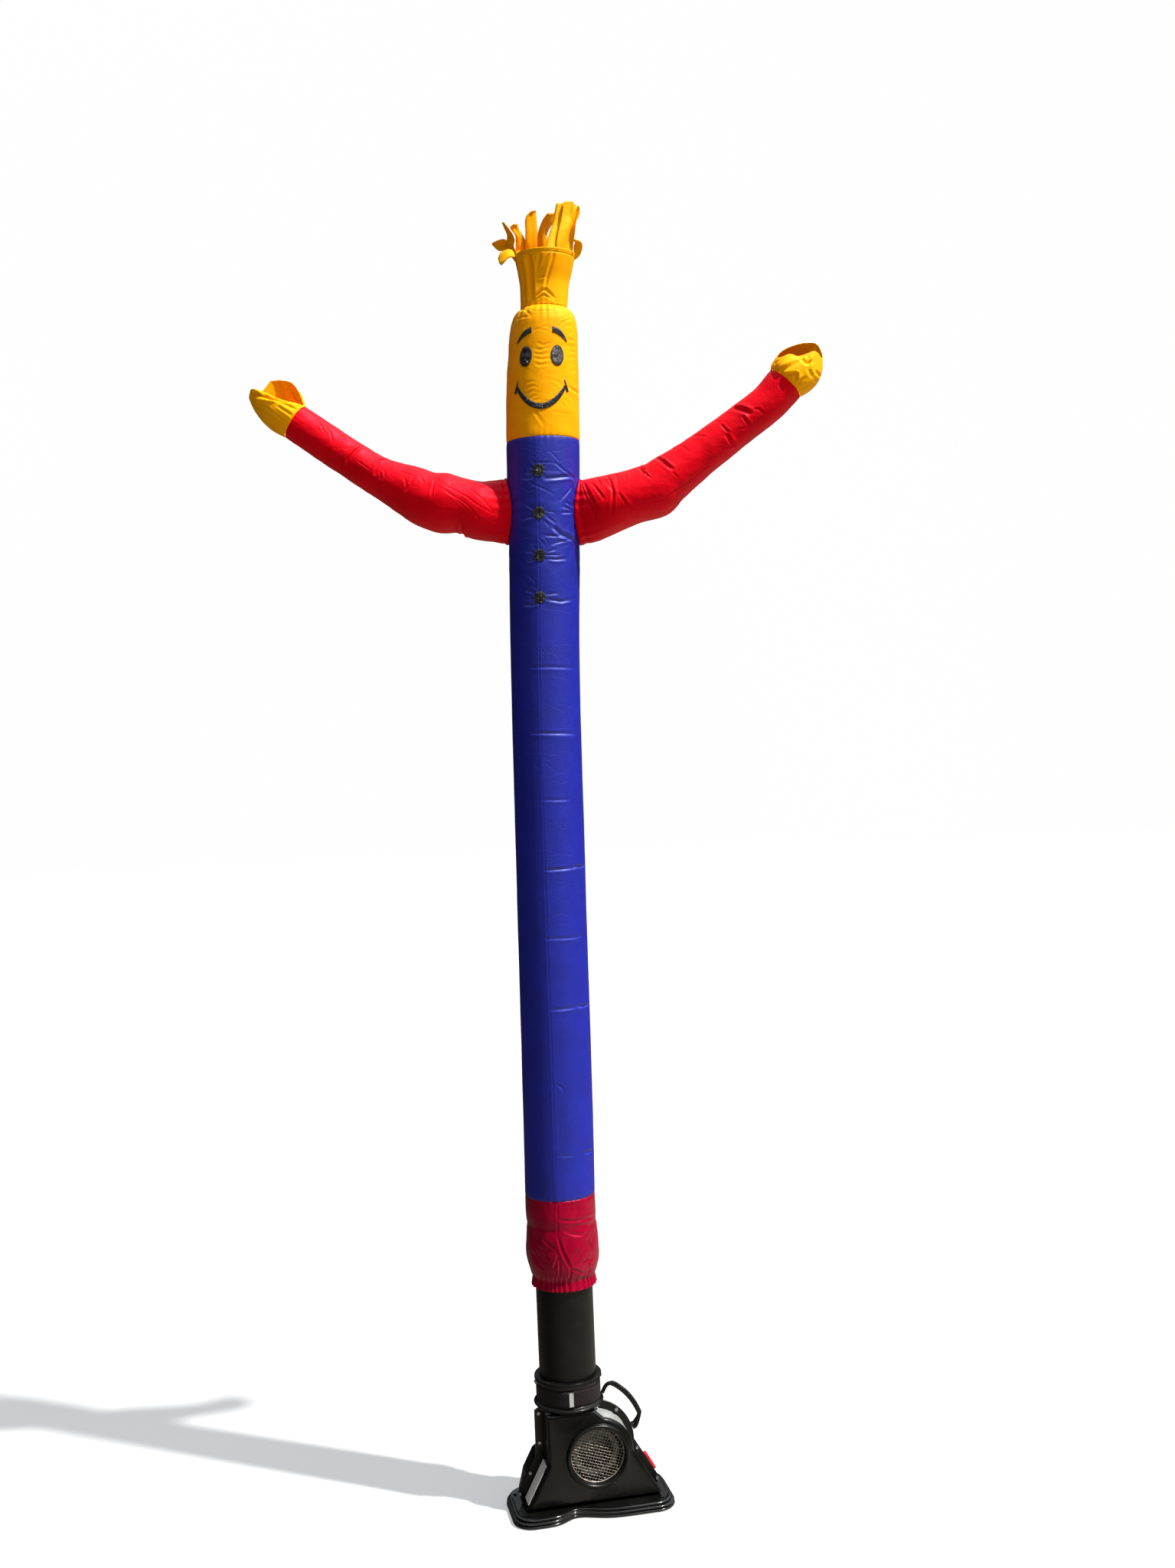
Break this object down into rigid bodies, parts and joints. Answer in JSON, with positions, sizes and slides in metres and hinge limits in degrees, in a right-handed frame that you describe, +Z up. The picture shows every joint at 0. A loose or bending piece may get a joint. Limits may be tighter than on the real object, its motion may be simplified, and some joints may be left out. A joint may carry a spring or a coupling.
{
  "type": "inflatable scarecrow figure on its duct pipe and blower",
  "caption": "Air-blown tube figure with raised arms, a smiling face and ragged hair, sewn from thin cloth and standing on the duct pipe of a floor blower",
  "frame": {"origin": "on the floor under the middle of the blower's base pan", "axes": "+Z up; -Y is the front, where the blower's round inlet faces; +X is to the right of someone who looks at the front"},
  "size_m": [1.2386, 0.3426, 2.9126],
  "materials": {
    "blue_cloth": "satin",
    "yellow_cloth": "satin",
    "red_cloth": "satin",
    "burgundy_cloth": "satin",
    "black_cloth": "glossy",
    "pipe_plastic": "matte",
    "black_plastic": "glossy",
    "webbing": "woven",
    "grey_label": "matte",
    "wire": "dull",
    "red_plastic": "glossy",
    "steel": "dull"
  },
  "bodies": {
    "root": {"body_tube": "blue_cloth", "head": "yellow_cloth", "hair_tube": "yellow_cloth", "hair_fringe": "yellow_cloth", "hand_left": "yellow_cloth", "hand_right": "yellow_cloth", "arm_left": "red_cloth", "arm_right": "red_cloth", "cuff": "burgundy_cloth", "button_1": "black_cloth", "button_2": "black_cloth", "button_3": "black_cloth", "button_4": "black_cloth", "eye_left": "black_cloth", "eye_right": "black_cloth", "brow_left": "black_cloth", "brow_right": "black_cloth", "mouth": "black_cloth", "duct_pipe": "pipe_plastic", "outlet_collar": "black_plastic", "shell_front": "black_plastic", "shell_rear": "black_plastic", "base_pan": "black_plastic", "carry_handle": "black_plastic", "switch_plate": "black_plastic", "pill_bar": "black_plastic", "collar_strap": "webbing", "strap_tag": "grey_label", "label_plate": "grey_label", "inlet_mesh": "wire", "red_guard": "red_plastic", "fan_wheel": "steel", "fan_motor": "steel", "bolt_lug": "steel", "bolt_neck": "steel", "bolt_left_upper": "steel", "bolt_left_lower": "steel", "bolt_right_upper": "steel", "bolt_right_lower": "steel", "bolt_handle": "steel", "bolt_collar_left": "steel", "bolt_collar_right": "steel"}
  },
  "joints": []
}
